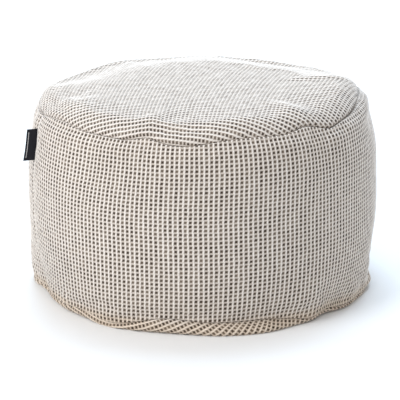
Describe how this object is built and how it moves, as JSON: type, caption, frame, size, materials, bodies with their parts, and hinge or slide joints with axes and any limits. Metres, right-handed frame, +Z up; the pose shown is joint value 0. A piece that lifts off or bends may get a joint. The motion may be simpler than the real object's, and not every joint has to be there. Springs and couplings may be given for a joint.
{
  "type": "outdoor pouf",
  "caption": "Round low outdoor pouf in woven cloth: a filled seat sewn from a crowned top panel, a side band and a bottom panel, with a small folded side label.",
  "frame": {"origin": "on the floor, under the middle of the bounding box", "axes": "+Z up; -Y out of the side that the picture shows; -X towards the side with the label"},
  "size_m": [0.5022, 0.5, 0.2991],
  "materials": {
    "woven_cloth": "matt, coarse open weave of cream and dark yarns",
    "label_tape": "smooth satin tape"
  },
  "bodies": {
    "root": {"top_panel": "woven_cloth", "side_band": "woven_cloth", "bottom_panel": "woven_cloth", "label": "label_tape"}
  },
  "joints": []
}
